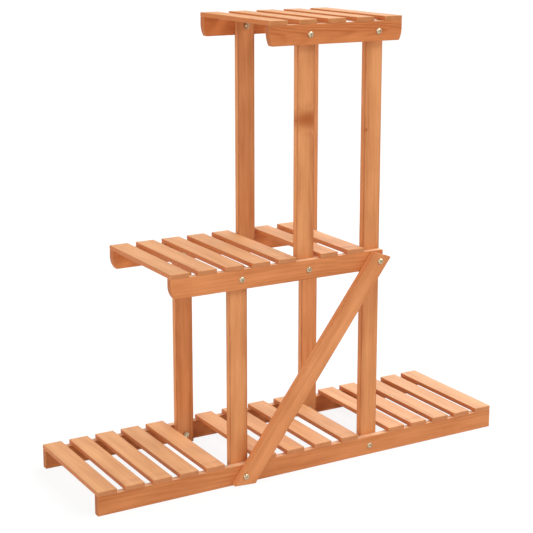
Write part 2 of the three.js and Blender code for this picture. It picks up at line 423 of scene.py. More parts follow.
class MaterialBench(NodeBench):
    """Short calls for wiring one material, which holds one Principled shader."""

    def __init__(self, name: str) -> None:
        """Starts a material of this name."""
        self.material = bpy.data.materials.new(name)
        self.material.use_nodes = True
        super().__init__(self.material.node_tree)
        self.shader = self.tree.nodes["Principled BSDF"]
        self.place = self.tree.nodes.new("ShaderNodeTexCoord")

    def set(self, name: str, value: object) -> None:
        """Feeds one of the shader's inputs by its name."""
        self.feed(self.shader.inputs[name], value)

    def bump(self, height: Socket, depth: float) -> None:
        """Gives the shader a relief, whose height goes from 0 to 1 over its depth in metres."""
        inputs = {"Strength": 1.0, "Distance": depth, "Height": height}
        self.set("Normal", self.add("ShaderNodeBump", inputs).outputs["Normal"])


def linear(code: str, gain: float = 1.0) -> tuple[float, float, float, float]:
    """Turns a colour code such as #d9a066 into the shader's linear colour.

    Args:
        code: The colour as it shows on screen.
        gain: How much lighter it is made.

    Returns:
        Red, green, blue and a full alpha.
    """
    channels = [int(code[start : start + 2], 16) / 255 for start in (1, 3, 5)]
    straight = [c / 12.92 if c <= 0.04045 else ((c + 0.055) / 1.055) ** 2.4 for c in channels]
    return (*(min(1.0, gain * c) for c in straight), 1.0)


# ------------------------------------------------------------------ finishes

LOG_SPACING = 11.3  # metres along the log from one seed's board to the next one's
PITH_ASIDE = 24 * MILLIMETRE  # a board's middle lies up to this far beside the log's pith
PITH_DEPTHS = (20 * MILLIMETRE, 75 * MILLIMETRE)  # and between these over it or under it
RING_WIDTHS = (3.2 * MILLIMETRE, 5.2 * MILLIMETRE)
TAPERS = (0.004, 0.020)  # how much further the rings lie out, for each metre along the board
TONE_SPREAD = 0.04  # how far a board's lightness may differ from its neighbours'

FIBRE = Layer(7.0, 520.0, detail=3.0, rough=0.6, weight=0.36)
STREAK = Layer(16.0, 230.0, detail=2.0, rough=0.6, weight=0.50)
BAND = Layer(1.7, 62.0, detail=1.0, weight=0.66)
CLOUD = Layer(13.0, 42.0, detail=1.5, weight=0.70)
PORE = Layer(38.0, 1500.0, detail=1.0, weight=0.16)
WANDER = Layer(3.2, 24.0, detail=2.0, rough=0.45, weight=0.016)

MEAN_SHADE = 0.24  # how far an even board lies from its spring wood to its summer wood
FADED_RINGS = 0.15  # the share of the rings' strength that is left where they fade
SUMMER_PEAK = 0.75  # where in a ring the summer wood is darkest
END_GRAIN_SHARE = 0.55
ROUGHNESS_SPREAD = 0.16
RING_HEIGHT = 0.5  # the relief of the rings beside that of the fibres
PORE_DEPTH = 0.6
SQUARE_ON = (0.75, 0.98)  # how nearly a normal lies along an axis where a face's coat starts and is full
FADING = (0.3, 0.7)  # the slow noise between which the rings come up
PORE_ONSET = (0.60, 0.74)
SHADOW_BAND_BREAKS = (0.3, 0.6)  # the slow noise between which the painted shadow band comes up
SHADOW_BAND_LEFT = 0.4  # the share of it that shows where it is broken
# the streaks between which the arrises' darkening comes up, and the share of it left where it breaks
ARRIS_DARKNESS_BREAKS = (0.35, 0.65)
ARRIS_DARKNESS_LEFT = 0.5
KNOT_SWAY = 0.3  # how far a knot pushes the rings aside, as a share of its halo
SWAY_REACH = 1.5  # how far that is felt, in halos
CORE_EDGE = (0.25, 0.6)  # the nearness to a knot's centre between which its core comes up
CORE_DARKNESS = 0.85


@dataclass(frozen=True)
class Lie:
    """How a board lies: its middle, the turn from its own axes, and its length, width and thickness."""

    centre: Vector
    turn: Euler
    size: tuple[float, float, float]


@dataclass(frozen=True)
class Knot:
    """A knot: its centre from the board's middle, the radii of its dark core and of the halo round it.

    It also says how dark the halo is, and how many times wider it is across the grain than along it.
    """

    along: float
    across: float
    through: float
    core: float
    halo: float
    darkness: float
    breadth: float = 1.0


@dataclass(frozen=True)
class Figure:
    """How one board was sawn: where the log's pith lies from its middle, and how its rings run."""

    seed: int
    pith_across: float
    pith_through: float
    ring_width: float
    taper: float
    tone: float = 1.0
    lean: float = 0.0
    knots: tuple[Knot, ...] = ()

    @staticmethod
    def sawn(seed: int, tone: float = 1.0, lean: float = 0.0, knots: tuple[Knot, ...] = ()) -> "Figure":
        """Picks a likely place in the log for a board.

        Args:
            seed: Fixes what is picked.
            tone: How light the board is beside its neighbours.
            lean: How much darker one edge of the board is than its middle.
            knots: The knots that it holds.

        Returns:
            The board's figure.
        """
        pick = random.Random(seed)
        return Figure(
            seed=seed,
            pith_across=pick.uniform(-PITH_ASIDE, PITH_ASIDE),
            pith_through=pick.choice((-1, 1)) * pick.uniform(*PITH_DEPTHS),
            ring_width=pick.uniform(*RING_WIDTHS),
            taper=pick.choice((-1, 1)) * pick.uniform(*TAPERS),
            tone=tone * pick.uniform(1 - TONE_SPREAD, 1 + TONE_SPREAD),
            lean=lean,
            knots=knots,
        )


@dataclass(frozen=True)
class StainedWood:
    """A satin, honey-coloured stain on planed softwood, which is darker along the arrises.

    The rings run from spring wood to summer wood. The narrow sides take a painted tone of their own:
    painted light on a rail's top and bottom faces, painted shade on a slat's sides. A painted shadow band
    may lie across the board by its far end: lap is its strength at most.
    """

    slot: Slot
    spring_wood: str
    summer_wood: str
    arris_and_shadow_colour: str
    # painted light and shade: the colour that the narrow sides take
    painted_side_tone: str = "#b86b35"
    end_grain: str = "#9c5228"
    knot: str = "#7a3a1a"
    knot_halo: str = "#a85214"
    roughness: float = 0.62
    gloss: float = 0.35
    relief: float = 0.05 * MILLIMETRE
    rings: float = 0.24
    summer_start: float = 0.05
    # how much of that painted side colour the narrow sides take
    painted_side_share: float = 0.0
    # painted shadow: the strongest dark band across the board near its far end, how far in it lies and
    # how far it reaches
    lap: float = 0.0
    shadow_band_inset: float = 19 * MILLIMETRE
    shadow_band_reach: float = 11 * MILLIMETRE
    # how much darker the long arrises are, and over what width
    arris_darkness: float = 0.6
    arris_darkness_width: float = 3.2 * MILLIMETRE

    def dress(self, piece: Piece, lie: Lie, figure: Figure) -> None:
        """Gives a board its grain and its stain.

        Args:
            piece: The board.
            lie: How it lies in the stand.
            figure: How it was sawn.
        """
        coat = WoodCoat(f"stained_{piece.name}", self, lie, figure)
        coat.paint()
        piece.data.materials.clear()
        piece.data.materials.append(coat.material)


class WoodCoat(MaterialBench):
    """The grain and the stain of one board, wired as its material."""

    def __init__(self, name: str, wood: StainedWood, lie: Lie, figure: Figure) -> None:
        """Finds the place in the board and in the log, and the noise there.

        Args:
            name: The material's name.
            wood: The board's finish.
            lie: How the board lies in the stand.
            figure: How it was sawn.
        """
        super().__init__(name)
        self.wood = wood
        self.lie = lie
        self.figure = figure
        inputs = {"Vector": self.place.outputs["Object"], "Location": lie.centre, "Rotation": lie.turn}
        mapping = self.add("ShaderNodeMapping", inputs)
        mapping.vector_type = "TEXTURE"
        self.board = mapping.outputs["Vector"]
        self.along, self.across, self.through = self.add("ShaderNodeSeparateXYZ", {0: self.board}).outputs
        log_place = self.vector("ADD", self.board, (LOG_SPACING * figure.seed, 0.0, 0.0))
        self.wander = self.noise(log_place, WANDER)
        self.layers = {layer: self.noise(log_place, layer) for layer in (FIBRE, STREAK, BAND, CLOUD)}
        self.pore = self.remap(self.noise(log_place, PORE), *PORE_ONSET, 0.0, 1.0)

    def paint(self) -> None:
        """Lays the knots, end grain, painted side tone, painted shadow band and darker arrises, and sets
        the shader.
        """
        wood = self.wood
        ring = self._rings()
        colour = self._grain(ring)
        for knot in self.figure.knots:
            colour = self._knot(colour, knot)
        overlays = [(self._facing(Vector((1, 0, 0)), END_GRAIN_SHARE), wood.end_grain)]
        # painted light and shade: the narrow sides' own tone, pale on rails and dark on slats
        if wood.painted_side_share:
            overlays.append((self._facing(Vector((0, 1, 0)), wood.painted_side_share), wood.painted_side_tone))
        # painted shadow: a dark band across the board near its far end
        if wood.lap:
            overlays.append((self._painted_shadow_band(), wood.arris_and_shadow_colour))
        # the long arrises, made darker
        overlays.append((self._darker_arrises(), wood.arris_and_shadow_colour))
        for share, stain in overlays:
            colour = self.blend(share, colour, linear(stain, self.figure.tone))

        fibre = self.layers[FIBRE]
        smoothest = wood.roughness - ROUGHNESS_SPREAD / 2
        satin = self.math("MULTIPLY_ADD", fibre, ROUGHNESS_SPREAD, smoothest)
        self.set("Base Color", colour)
        self.set("Roughness", satin)
        self.set("Specular IOR Level", wood.gloss)
        height = self.math("MULTIPLY_ADD", ring, RING_HEIGHT, fibre)
        self.bump(self.math("MULTIPLY_ADD", self.pore, -PORE_DEPTH, height), wood.relief)

    def _rings(self) -> Socket:
        """The yearly rings, from 0 in spring wood to 1 in the dark summer line.

        Returns:
            The rings.
        """
        pith = Vector((0.0, self.figure.pith_across, self.figure.pith_through))
        outward = self.vector("MULTIPLY", self.vector("SUBTRACT", self.board, pith), (0.0, 1.0, 1.0))
        radius = self.vector("LENGTH", outward, output="Value")
        radius = self.math("MULTIPLY_ADD", self.along, self.figure.taper, radius)
        radius = self.math("MULTIPLY_ADD", self.wander, WANDER.weight, radius)
        for knot in self.figure.knots:
            near = self._nearness(knot, SWAY_REACH * knot.halo)
            radius = self.math("MULTIPLY_ADD", near, KNOT_SWAY * knot.halo, radius)
        phase = self.math("FRACT", self.math("DIVIDE", radius, self.figure.ring_width))
        rise = self.remap(phase, self.wood.summer_start, SUMMER_PEAK, 0.0, 1.0)
        fall = self.remap(phase, SUMMER_PEAK, 1.0, 1.0, 0.0)
        return self.math("MULTIPLY", rise, fall)

    def _grain(self, ring: Socket) -> Socket:
        """The bare wood's colour.

        Args:
            ring: The yearly rings.

        Returns:
            The colour, from its rings, its noise and its pores.
        """
        lean = 2 * self.figure.lean / self.lie.size[1]
        shade = self.math("MULTIPLY_ADD", self.across, lean, MEAN_SHADE)
        faintest = FADED_RINGS * self.wood.rings
        strength = self.remap(self.layers[BAND], *FADING, faintest, self.wood.rings)
        shade = self.math("ADD", self.math("MULTIPLY", ring, strength), shade)
        for layer, noise in self.layers.items():
            centred = self.math("SUBTRACT", noise, 0.5)
            shade = self.math("MULTIPLY_ADD", centred, layer.weight, shade)
        shade = self.math("MULTIPLY_ADD", self.pore, PORE.weight, shade, clamp=True)
        woods = (self.wood.spring_wood, self.wood.summer_wood)
        return self.blend(shade, *(linear(wood, self.figure.tone) for wood in woods))

    def _facing(self, axis: Vector, share: float) -> Socket:
        """A share on the faces that lie square to one of the board's axes, and 0 elsewhere.

        Args:
            axis: The axis in the board.
            share: The value on those faces.

        Returns:
            The share.
        """
        axis.rotate(self.lie.turn)
        facing = self.vector("DOT_PRODUCT", self.place.outputs["Normal"], axis, output="Value")
        return self.remap(self.math("ABSOLUTE", facing), *SQUARE_ON, 0.0, share)

    def _painted_shadow_band(self) -> Socket:
        """A painted shadow: a soft dark stripe across the board by its far end.

        Returns:
            The stripe's strength.
        """
        strength = self.wood.lap * random.Random(f"lap {self.figure.seed}").random() ** 2
        to_stripe = self.lie.size[0] / 2 - self.wood.shadow_band_inset
        away = self.math("ABSOLUTE", self.math("ADD", self.along, to_stripe))
        stripe = self.remap(away, 0.0, self.wood.shadow_band_reach, strength, 0.0)
        return self.math("MULTIPLY", stripe, self.remap(self.layers[BAND], *SHADOW_BAND_BREAKS, SHADOW_BAND_LEFT, 1.0))

    def _darker_arrises(self) -> Socket:
        """The darkening along the board's long arrises.

        Returns:
            Its strength.
        """
        insets = [
            self.math("SUBTRACT", size / 2, self.math("ABSOLUTE", place))
            for size, place in zip(self.lie.size[1:], (self.across, self.through))
        ]
        width = self.wood.arris_darkness_width
        nearness = self.remap(self.math("MAXIMUM", *insets), 0.0, width, 1.0, 0.0)
        full = self.wood.arris_darkness
        strength = self.remap(self.layers[STREAK], *ARRIS_DARKNESS_BREAKS, ARRIS_DARKNESS_LEFT * full, full)
        return self.math("MULTIPLY", nearness, strength)

    def _nearness(self, knot: Knot, reach: float) -> Socket:
        """From 1 at a knot's centre to 0 at its reach.

        Args:
            knot: The knot.
            reach: How far it is felt.

        Returns:
            The nearness.
        """
        centre = Vector((knot.along, knot.across, knot.through))
        away = self.vector("SUBTRACT", self.board, centre)
        squeezed = self.vector("MULTIPLY", away, (1.0, 1.0 / knot.breadth, 1.0 / knot.breadth))
        distance = self.vector("LENGTH", squeezed, output="Value")
        return self.remap(distance, 0.0, reach, 1.0, 0.0)

    def _knot(self, colour: Socket, knot: Knot) -> Socket:
        """Darkens the wood at a knot, and softly round it.

        Args:
            colour: The wood's colour.
            knot: The knot.

        Returns:
            The colour with the knot.
        """
        halo = self.math("MULTIPLY", self._nearness(knot, knot.halo), knot.darkness)
        colour = self.blend(halo, colour, linear(self.wood.knot_halo))
        if not knot.core:
            return colour
        core = self.remap(self._nearness(knot, knot.core), *CORE_EDGE, 0.0, CORE_DARKNESS)
        return self.blend(core, colour, linear(self.wood.knot))


@dataclass(frozen=True)
class Zinc:
    """Yellowish zinc plating, cloudy and a little dulled, with a dark coat of painted shade in the
    sockets.

    Its cloud, pits and shade_mottle are the noise of the dulling, of the fine relief and of the painted
    shade.
    """

    slot: Slot = Slot.ZINC
    bright: str = "#dccaa9"
    dull: str = "#8d7c64"
    # painted shade: the dark coat in the sockets, with its roughness and metalness
    socket_shade: str = "#3a3024"
    roughness: tuple[float, float] = (0.20, 0.38)
    dulling: tuple[float, float] = (0.35, 0.70)
    socket_shade_roughness: float = 0.65
    socket_shade_metal: float = 0.4
    relief: float = 0.01 * MILLIMETRE
    cloud: Layer = Layer(420.0, 420.0, detail=3.0, rough=0.6)
    pits: Layer = Layer(2600.0, 2600.0, detail=2.0)
    # the mottling of the painted shade in the sockets
    shade_mottle: Layer = Layer(1500.0, 1500.0, detail=2.0)

    def materials(self) -> tuple[bpy.types.Material, bpy.types.Material]:
        """Makes the plating, and the painted shade that fills the sockets."""
        return self._plating(), self._socket_shade()

    def _socket_shade(self) -> bpy.types.Material:
        """Makes the dull, dark coat of painted shade inside a socket.

        Returns:
            The material.
        """
        bench = MaterialBench("painted_socket_shade")
        specks = bench.remap(bench.noise(bench.place.outputs["Object"], self.shade_mottle), 0.4, 0.7, 0.0, 0.5)
        colour = bench.blend(specks, linear(self.socket_shade), linear(self.dull))
        bench.set("Base Color", colour)
        bench.set("Metallic", self.socket_shade_metal)
        bench.set("Roughness", self.socket_shade_roughness)
        return bench.material

    def _plating(self) -> bpy.types.Material:
        """Makes the zinc itself.

        Returns:
            The material.
        """
        bench = MaterialBench("yellow_zinc")
        place = bench.place.outputs["Object"]
        cloud = bench.noise(place, self.cloud)
        dulled = bench.remap(cloud, *self.dulling, 0.0, 1.0)
        rough = bench.remap(cloud, 0.3, 0.7, *self.roughness)
        colour = bench.blend(dulled, linear(self.bright), linear(self.dull))
        bench.set("Base Color", colour)
        bench.set("Metallic", 1.0)
        bench.set("Roughness", rough)
        bench.bump(bench.noise(place, self.pits), self.relief)
        return bench.material

    def dress(self, piece: Piece, materials: tuple[bpy.types.Material, ...]) -> None:
        """Gives a piece its materials.

        Args:
            piece: The piece.
            materials: The materials, the first of which covers each face that names no other.
        """
        piece.data.materials.clear()
        for material in materials:
            piece.data.materials.append(material)


RAIL_WOOD = StainedWood(
    slot=Slot.RAIL,
    spring_wood="#dd8d54",
    summer_wood="#ad5a22",
    arris_and_shadow_colour="#ad5a28",
    # painted light: pale narrow top and bottom faces on the rails
    painted_side_tone="#f2c094",
    painted_side_share=0.90,
    arris_darkness=0.20,
    arris_darkness_width=2.0 * MILLIMETRE,
)
RED_RAIL_WOOD = replace(
    RAIL_WOOD, spring_wood="#d98448", summer_wood="#a34d18", rings=0.42, summer_start=0.40
)
POST_WOOD = StainedWood(
    slot=Slot.POST, spring_wood="#e1985f", summer_wood="#b0622d", arris_and_shadow_colour="#a95a29", arris_darkness=0.85
)
CALM_POST_WOOD = replace(POST_WOOD, rings=0.10)
BRACE_WOOD = replace(POST_WOOD, spring_wood="#dd935c", rings=0.10, arris_darkness=0.35)
SLAT_WOOD = StainedWood(
    slot=Slot.SLAT,
    spring_wood="#e2a46c",
    summer_wood="#c37f46",
    arris_and_shadow_colour="#b4683a",
    # painted shade: darker sides on the slats
    painted_side_tone="#bf6222",
    end_grain="#a8541e",
    gloss=0.60,
    painted_side_share=0.75,
    # a painted shadow band across each slat near its far end
    lap=0.55,
    arris_darkness=0.40,
)
SATIN_SLAT_WOOD = replace(SLAT_WOOD, gloss=0.55)
DULL_SLAT_WOOD = replace(SLAT_WOOD, gloss=0.28)


# ------------------------------------------------------------------ boards


@dataclass
class Board:
    """A straight board that fills the box of its node, with rounded arrises and drilled bores."""

    node: str
    name: str
    grain: Grain
    wood: StainedWood
    figure: Figure
    eased_edge: float = 1.2 * MILLIMETRE
    eased_steps: int = 3
    bore_radius: float = 3.4 * MILLIMETRE
    bore_sides: int = 32
    sharp_angle: float = math.radians(50)
    bores: list[Vector] = field(default_factory=list)

    @property
    def low(self) -> Vector:
        """The lowest corner of the board's node."""
        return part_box(self.node)[0]

    @property
    def high(self) -> Vector:
        """The highest corner of the board's node."""
        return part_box(self.node)[1]

    @property
    def lie(self) -> Lie:
        """How the board lies in the stand."""
        thickness, width, length = sorted(self.high - self.low)
        return Lie(Workshop.centre(self.node), Euler(self.grain.value), (length, width, thickness))

    def build(self) -> list[Piece]:
        """Models and dresses the board, which is the list's only item."""
        return [self.fit(self.model())]

    def model(self) -> Piece:
        """Models the board.

        Returns:
            The finished board, without its wood.
        """
        piece = self.blank()
        self.shape(piece)
        Workbench.ease_arrises(piece, self.eased_edge, self.eased_steps)
        for bore in self.bores:
            start = Vector((bore.x, self.low.y - self.eased_edge, bore.z))
            end = Vector((bore.x, self.high.y + self.eased_edge, bore.z))
            drill = Workbench.rod("drill", self.bore_radius, start, end, self.bore_sides)
            Workbench.combine(piece, drill, "DIFFERENCE")
        Workbench.polish(piece, self.sharp_angle)
        return piece

    def blank(self) -> Piece:
        """Saws the block that the board is made from; a straight board fills its node's box."""
        return Workbench.block(self.name, self.low, self.high)

    def shape(self, piece: Piece) -> None:
        """Cuts the board's ends; a plain board keeps them square."""

    def fit(self, piece: Piece) -> Piece:
        """Dresses the board and puts it in its node's stead.

        Args:
            piece: The modelled board.

        Returns:
            The same piece.
        """
        self.wood.dress(piece, self.lie, self.figure)
        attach(piece, BODY)
        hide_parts(self.node)
        return piece


@dataclass
class Rail(Board):
    """A shelf's side rail, whose free ends curve in below."""

    curve_height: float = 22 * MILLIMETRE
    curve_steps: int = 8
    low_end_inset: float = 0.0
    high_end_inset: float = 0.0

    def shape(self, piece: Piece) -> None:
        """Planes the arc of each shaped end, one flat after another.

        Args:
            piece: The rail's block.
        """
        ends = ((self.low.x, self.low_end_inset, 1.0), (self.high.x, self.high_end_inset, -1.0))
        with Workbench.editing(piece):
            for end, inset, inward in ends:
                if inset > 0:
                    self._curve_in(end, inset, inward)

    def _curve_in(self, end: float, inset: float, inward: float) -> None:
        """Curves one end in, from its square upper part to the lower edge, in edit mode.

        Args:
            end: The X of the end's face.
            inset: How far in the curve meets the lower edge.
            inward: The sign of X that points into the rail.
        """
        radius = (self.curve_height**2 + inset**2) / (2 * inset)
        sweep = math.asin(self.curve_height / radius)
        centre = Vector((end + inward * radius, 0.0, self.low.z + self.curve_height))
        for step in range(self.curve_steps):
            middle = sweep * (step + 0.5) / self.curve_steps
            outward = Vector((-inward * math.cos(middle), 0.0, -math.sin(middle)))
            flat = centre + outward * radius * math.cos(sweep / self.curve_steps / 2)
            Workbench.slice_off(flat, outward)


@dataclass
class Brace(Board):
    """The diagonal brace, which two bolts of the front hold against the rails."""

    node: str = "diagonal_brace"
    name: str = "brace"
    grain: Grain = Grain.ALONG_X
    wood: StainedWood = BRACE_WOOD
    figure: Figure = Figure.sawn(seed=306, tone=1.09)
    foot_bolt: str = "bolt_lower_short_front"
    head_bolt: str = "bolt_middle_tall_front"
    width: float = 35 * MILLIMETRE
    foot_bolt_side: float = 8 * MILLIMETRE
    head_bolt_side: float = -2 * MILLIMETRE
    foot_lift: float = 2 * MILLIMETRE
    foot_cut: float = math.radians(-3.5)
    head_reach: float = 13 * MILLIMETRE
    head_cut: float = math.radians(-20)
    spare: float = 60 * MILLIMETRE
    slope: float = field(init=False)
    foot: Vector = field(init=False)
    head: Vector = field(init=False)

    def __post_init__(self) -> None:
        """Finds the slope and the middles of both ends from the bolts that hold the brace."""
        self.bores = [Workshop.centre(bolt) for bolt in (self.foot_bolt, self.head_bolt)]
        depth = (self.low.y + self.high.y) / 2
        foot, head = (Vector((bore.x, depth, bore.z)) for bore in self.bores)
        span = head - foot
        drift = math.asin((self.foot_bolt_side - self.head_bolt_side) / span.length)
        self.slope = math.atan2(span.z, span.x) + drift
        along = Vector((math.cos(self.slope), 0.0, math.sin(self.slope)))
        below = Vector((along.z, 0.0, -along.x))
        foot += below * self.foot_bolt_side
        head += below * self.head_bolt_side
        self.foot = foot + along * ((self.foot_lift - foot.z) / along.z)
        self.head = head + along * self.head_reach

    @property
    def lie(self) -> Lie:
        """How the brace lies in the stand."""
        size = ((self.head - self.foot).length, self.width, self.high.y - self.low.y)
        return Lie((self.foot + self.head) / 2, Euler((math.pi / 2, -self.slope, 0.0)), size)

    def blank(self) -> Piece:
        """Saws a block longer than the brace and turns it to its slope.

        Returns:
            The block.
        """
        middle = self.lie.centre
        length, width, thickness = self.lie.size
        reach = Vector((length / 2 + self.spare, thickness / 2, width / 2))
        piece = Workbench.block(self.name, middle - reach, middle + reach)
        turn = Matrix.Rotation(-self.slope, 4, "Y")
        piece.data.transform(Matrix.Translation(middle) @ turn @ Matrix.Translation(-middle))
        return piece

    def shape(self, piece: Piece) -> None:
        """Cuts both ends.

        Args:
            piece: The turned block.
        """
        with Workbench.editing(piece):
            for end, cut, up in ((self.foot, self.foot_cut, -1.0), (self.head, self.head_cut, 1.0)):
                Workbench.slice_off(end, Vector((-up * math.sin(cut), 0.0, up * math.cos(cut))))


@dataclass
class Shelf:
    """One tier: two side rails and its slats."""

    tier: str
    seed: int
    low_end_inset: float = 0.0
    high_end_inset: float = 0.0
    rail_wood: StainedWood = RAIL_WOOD
    rail_tone: float = 1.0
    front_rail_figure: Figure | None = None
    slat_wood: StainedWood = SLAT_WOOD
    slat_tone: float = 1.0
    slat_edge: float = 1.0 * MILLIMETRE
    slat_seed_step: int = 10

    def build(self) -> list[Piece]:
        """Models and dresses the tier's boards."""
        return self._rails() + self._slats()

    def _rails(self) -> list[Piece]:
        """Makes the two side rails.

        Returns:
            The front rail and the rear rail.
        """
        made = []
        for number, side in enumerate(Side):
            figure = Figure.sawn(self.seed + number, self.rail_tone)
            if side is Side.FRONT and self.front_rail_figure:
                figure = self.front_rail_figure
            rail = Rail(
                node=f"{self.tier}_rail_{side.value}",
                name=f"rail_{self.tier}_{side.value}",
                grain=Grain.ALONG_X,
                wood=self.rail_wood,
                figure=figure,
                bores=Workshop.centres(f"bolt_{self.tier}_", side.value),
                low_end_inset=self.low_end_inset,
                high_end_inset=self.high_end_inset,
            )
            made += rail.build()
        return made

    def _slats(self) -> list[Piece]:
        """Models one slat and lays a copy of it at each slat's place.

        Returns:
            The slats, from the low end to the tall end.
        """
        slats = [
            Board(
                node=node,
                name=f"slat_{self.tier}_{number + 1:02d}",
                grain=Grain.ALONG_Y,
                wood=self.slat_wood,
                figure=Figure.sawn(self.seed + self.slat_seed_step + number, self.slat_tone),
                eased_edge=self.slat_edge,
            )
            for number, node in enumerate(Workshop.nodes(f"{self.tier}_slat_"))
        ]
        first = slats[0]
        pattern = replace(first, name="slat_pattern").model()
        made = []
        for slat in slats:
            move = Matrix.Translation(slat.low - first.low)
            made.append(slat.fit(Workbench.copy(pattern, slat.name, move)))
        bpy.data.objects.remove(pattern)
        return made


@dataclass
class PostPair:
    """The front and the rear post of one height."""

    kind: str
    seed: int
    tone: float = 1.0
    lean: float = 0.0
    front_knots: tuple[Knot, ...] = ()
    wood: StainedWood = POST_WOOD

    def build(self) -> list[Piece]:
        """Models and dresses both posts.

        Returns:
            The front post and the rear post.
        """
        made = []
        for number, side in enumerate(Side):
            knots = self.front_knots if side is Side.FRONT else ()
            post = Board(
                node=f"{self.kind}_post_{side.value}",
                name=f"post_{self.kind}_{side.value}",
                grain=Grain.ALONG_Z,
                wood=self.wood,
                figure=Figure.sawn(self.seed + number, self.tone, self.lean, knots),
                bores=Workshop.centres("bolt_", f"_{self.kind}_{side.value}"),
            )
            made += post.build()
        return made


# ------------------------------------------------------------------ bolts and nuts

WITHIN_SOCKET = 0.95  # a face whose centre lies nearer the axis than this share is inside the socket
UNDER_FLOOR = 0.9  # and so it is over this share of its floor's height
UNDER_MOUTH = 0.99  # and under this share of the head's height


@dataclass
class BoltedJoints:
    """The button-head bolts that hold the boards together, and their nuts."""

    shank_radius: float = 3.0 * MILLIMETRE
    head_radius: float = 5.5 * MILLIMETRE
    head_height: float = 3.28 * MILLIMETRE
    head_rim: float = 0.8 * MILLIMETRE
    dome_steps: int = 7
    socket_across_flats: float = 4.0 * MILLIMETRE
    socket_depth: float = 2.0 * MILLIMETRE
    nut_across_flats: float = 10.0 * MILLIMETRE
    nut_height: float = 5.0 * MILLIMETRE
    nut_face_radius: float = 4.7 * MILLIMETRE
    tip: float = 1.5 * MILLIMETRE
    thread_depth: float = 0.45 * MILLIMETRE
    thread_pitch: float = 1.0 * MILLIMETRE
    clearance: float = 0.05 * MILLIMETRE
    dome_sweep: float = math.radians(80)
    sharp_angle: float = math.radians(35)
    sides: int = 36
    seed: int = 77
    finish: Zinc = Zinc()

    def build(self) -> list[Piece]:
        """Models one bolt of each length and one nut, and puts copies at every joint.

        Returns:
            The bolts and nuts.
        """
        # the plating, and the painted shade for the sockets
        plating, socket_shade = self.finish.materials()
        nut_pattern = self._nut()
        bolt_patterns: dict[float, Piece] = {}
        pick = random.Random(self.seed)
        made = []
        for node in Workshop.nodes("bolt_"):
            side = Side.FRONT if node.endswith(Side.FRONT.value) else Side.REAR
            low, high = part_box(node)
            end = high.y if side is Side.FRONT else low.y
            seat = self._seat(node, side)
            grip = round(abs(end - seat) - self.nut_height - self.tip, 5)
            if grip not in bolt_patterns:
                bolt_patterns[grip] = self._bolt(grip)
            centre = Workshop.centre(node)
            aim = Matrix.Rotation(-side.outward * math.pi / 2, 4, "X")
            head_place = Matrix.Translation((centre.x, seat, centre.z)) @ aim
            nut_place = head_place @ Matrix.Translation((0.0, 0.0, -grip))
            head_turn = Matrix.Rotation(pick.uniform(0, math.tau), 4, "Z")
            nut_turn = Matrix.Rotation(pick.uniform(0, math.tau), 4, "Z")
            joint = node.removeprefix("bolt_")
            bolt = Workbench.copy(bolt_patterns[grip], f"screw_{joint}", head_place @ head_turn)
            nut = Workbench.copy(nut_pattern, f"nut_{joint}", nut_place @ nut_turn)
            for piece, coats in ((bolt, (plating, socket_shade)), (nut, (plating,))):
                self.finish.dress(piece, coats)
                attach(piece, BODY)
                made.append(piece)
            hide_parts(node)
        for pattern in [nut_pattern, *bolt_patterns.values()]:
            bpy.data.objects.remove(pattern)
        return made

    @staticmethod
    def _seat(bolt: str, side: Side) -> float:
        """The Y of the board face that a bolt's head bears on.

        Args:
            bolt: The bolt's node, named for its tier.
            side: The side of the stand that the head is on.

        Returns:
            The outer face of the brace, where the bolt holds it, or else of the tier's rail.
        """
        tier = bolt.split("_")[1]
        board = Brace.node if bolt in (Brace.foot_bolt, Brace.head_bolt) else f"{tier}_rail_{side.value}"
        low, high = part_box(board)
        return low.y if side is Side.FRONT else high.y

    @staticmethod
    def _grow(depth: float, height: float, share: float) -> None:
        """Extrudes the selected end face by a depth along Z to a height, and widens it by a share."""
        bpy.ops.mesh.extrude_region_move(TRANSFORM_OT_translate={"value": (0.0, 0.0, depth)})
        bpy.ops.transform.resize(value=(share, share, 1.0), center_override=(0.0, 0.0, height))

    def _dome(self) -> None:
        """Draws the head's selected upper face out to a dome, ring after ring."""
        rise = (self.head_height - self.head_rim) / math.sin(self.dome_sweep)
        last = 0.0
        for step in range(1, self.dome_steps + 1):
            angle = self.dome_sweep * step / self.dome_steps
            depth = rise * (math.sin(angle) - math.sin(last))
            height = self.head_rim + rise * math.sin(angle)
            self._grow(depth, height, math.cos(angle) / math.cos(last))
            last = angle

    def _bolt(self, grip: float) -> Piece:
        """Models a bolt along Z, with the seat of its head at zero.

        Args:
            grip: The thickness of the boards that it holds.

        Returns:
            The bolt.
        """
        rim_top = Vector((0.0, 0.0, self.head_rim))
        piece = Workbench.rod("bolt_pattern", self.head_radius, Vector(), rim_top, self.sides)
        with Workbench.editing(piece):
            Workbench.pick_end(piece, 1)
            self._dome()
            Workbench.pick_end(piece, -1)
            bpy.ops.mesh.inset(thickness=self.head_radius - self.shank_radius)
            plain = grip + self.nut_height
            self._grow(-plain, -plain, 1.0)
            valley = (self.shank_radius - self.thread_depth) / self.shank_radius
            for step, share in enumerate((valley, 1 / valley, valley), start=1):
                self._grow(-self.thread_pitch / 2, -plain - step * self.thread_pitch / 2, share)

        socket_radius = self.socket_across_flats / 2 / math.cos(math.pi / 6)
        floor = Vector((0.0, 0.0, self.head_height - self.socket_depth))
        mouth = Vector((0.0, 0.0, 2 * self.head_height))
        key = Workbench.rod("hexagon_key", socket_radius, floor, mouth, 6)
        Workbench.combine(piece, key, "DIFFERENCE")
        # faces inside the socket take the second material, a dark coat of painted shade
        for face in piece.data.polygons:
            inside = face.center.xy.length < WITHIN_SOCKET * socket_radius
            sunk = UNDER_FLOOR * floor.z < face.center.z < UNDER_MOUTH * self.head_height
            face.material_index = int(inside and sunk)
        Workbench.polish(piece, self.sharp_angle)
        return piece

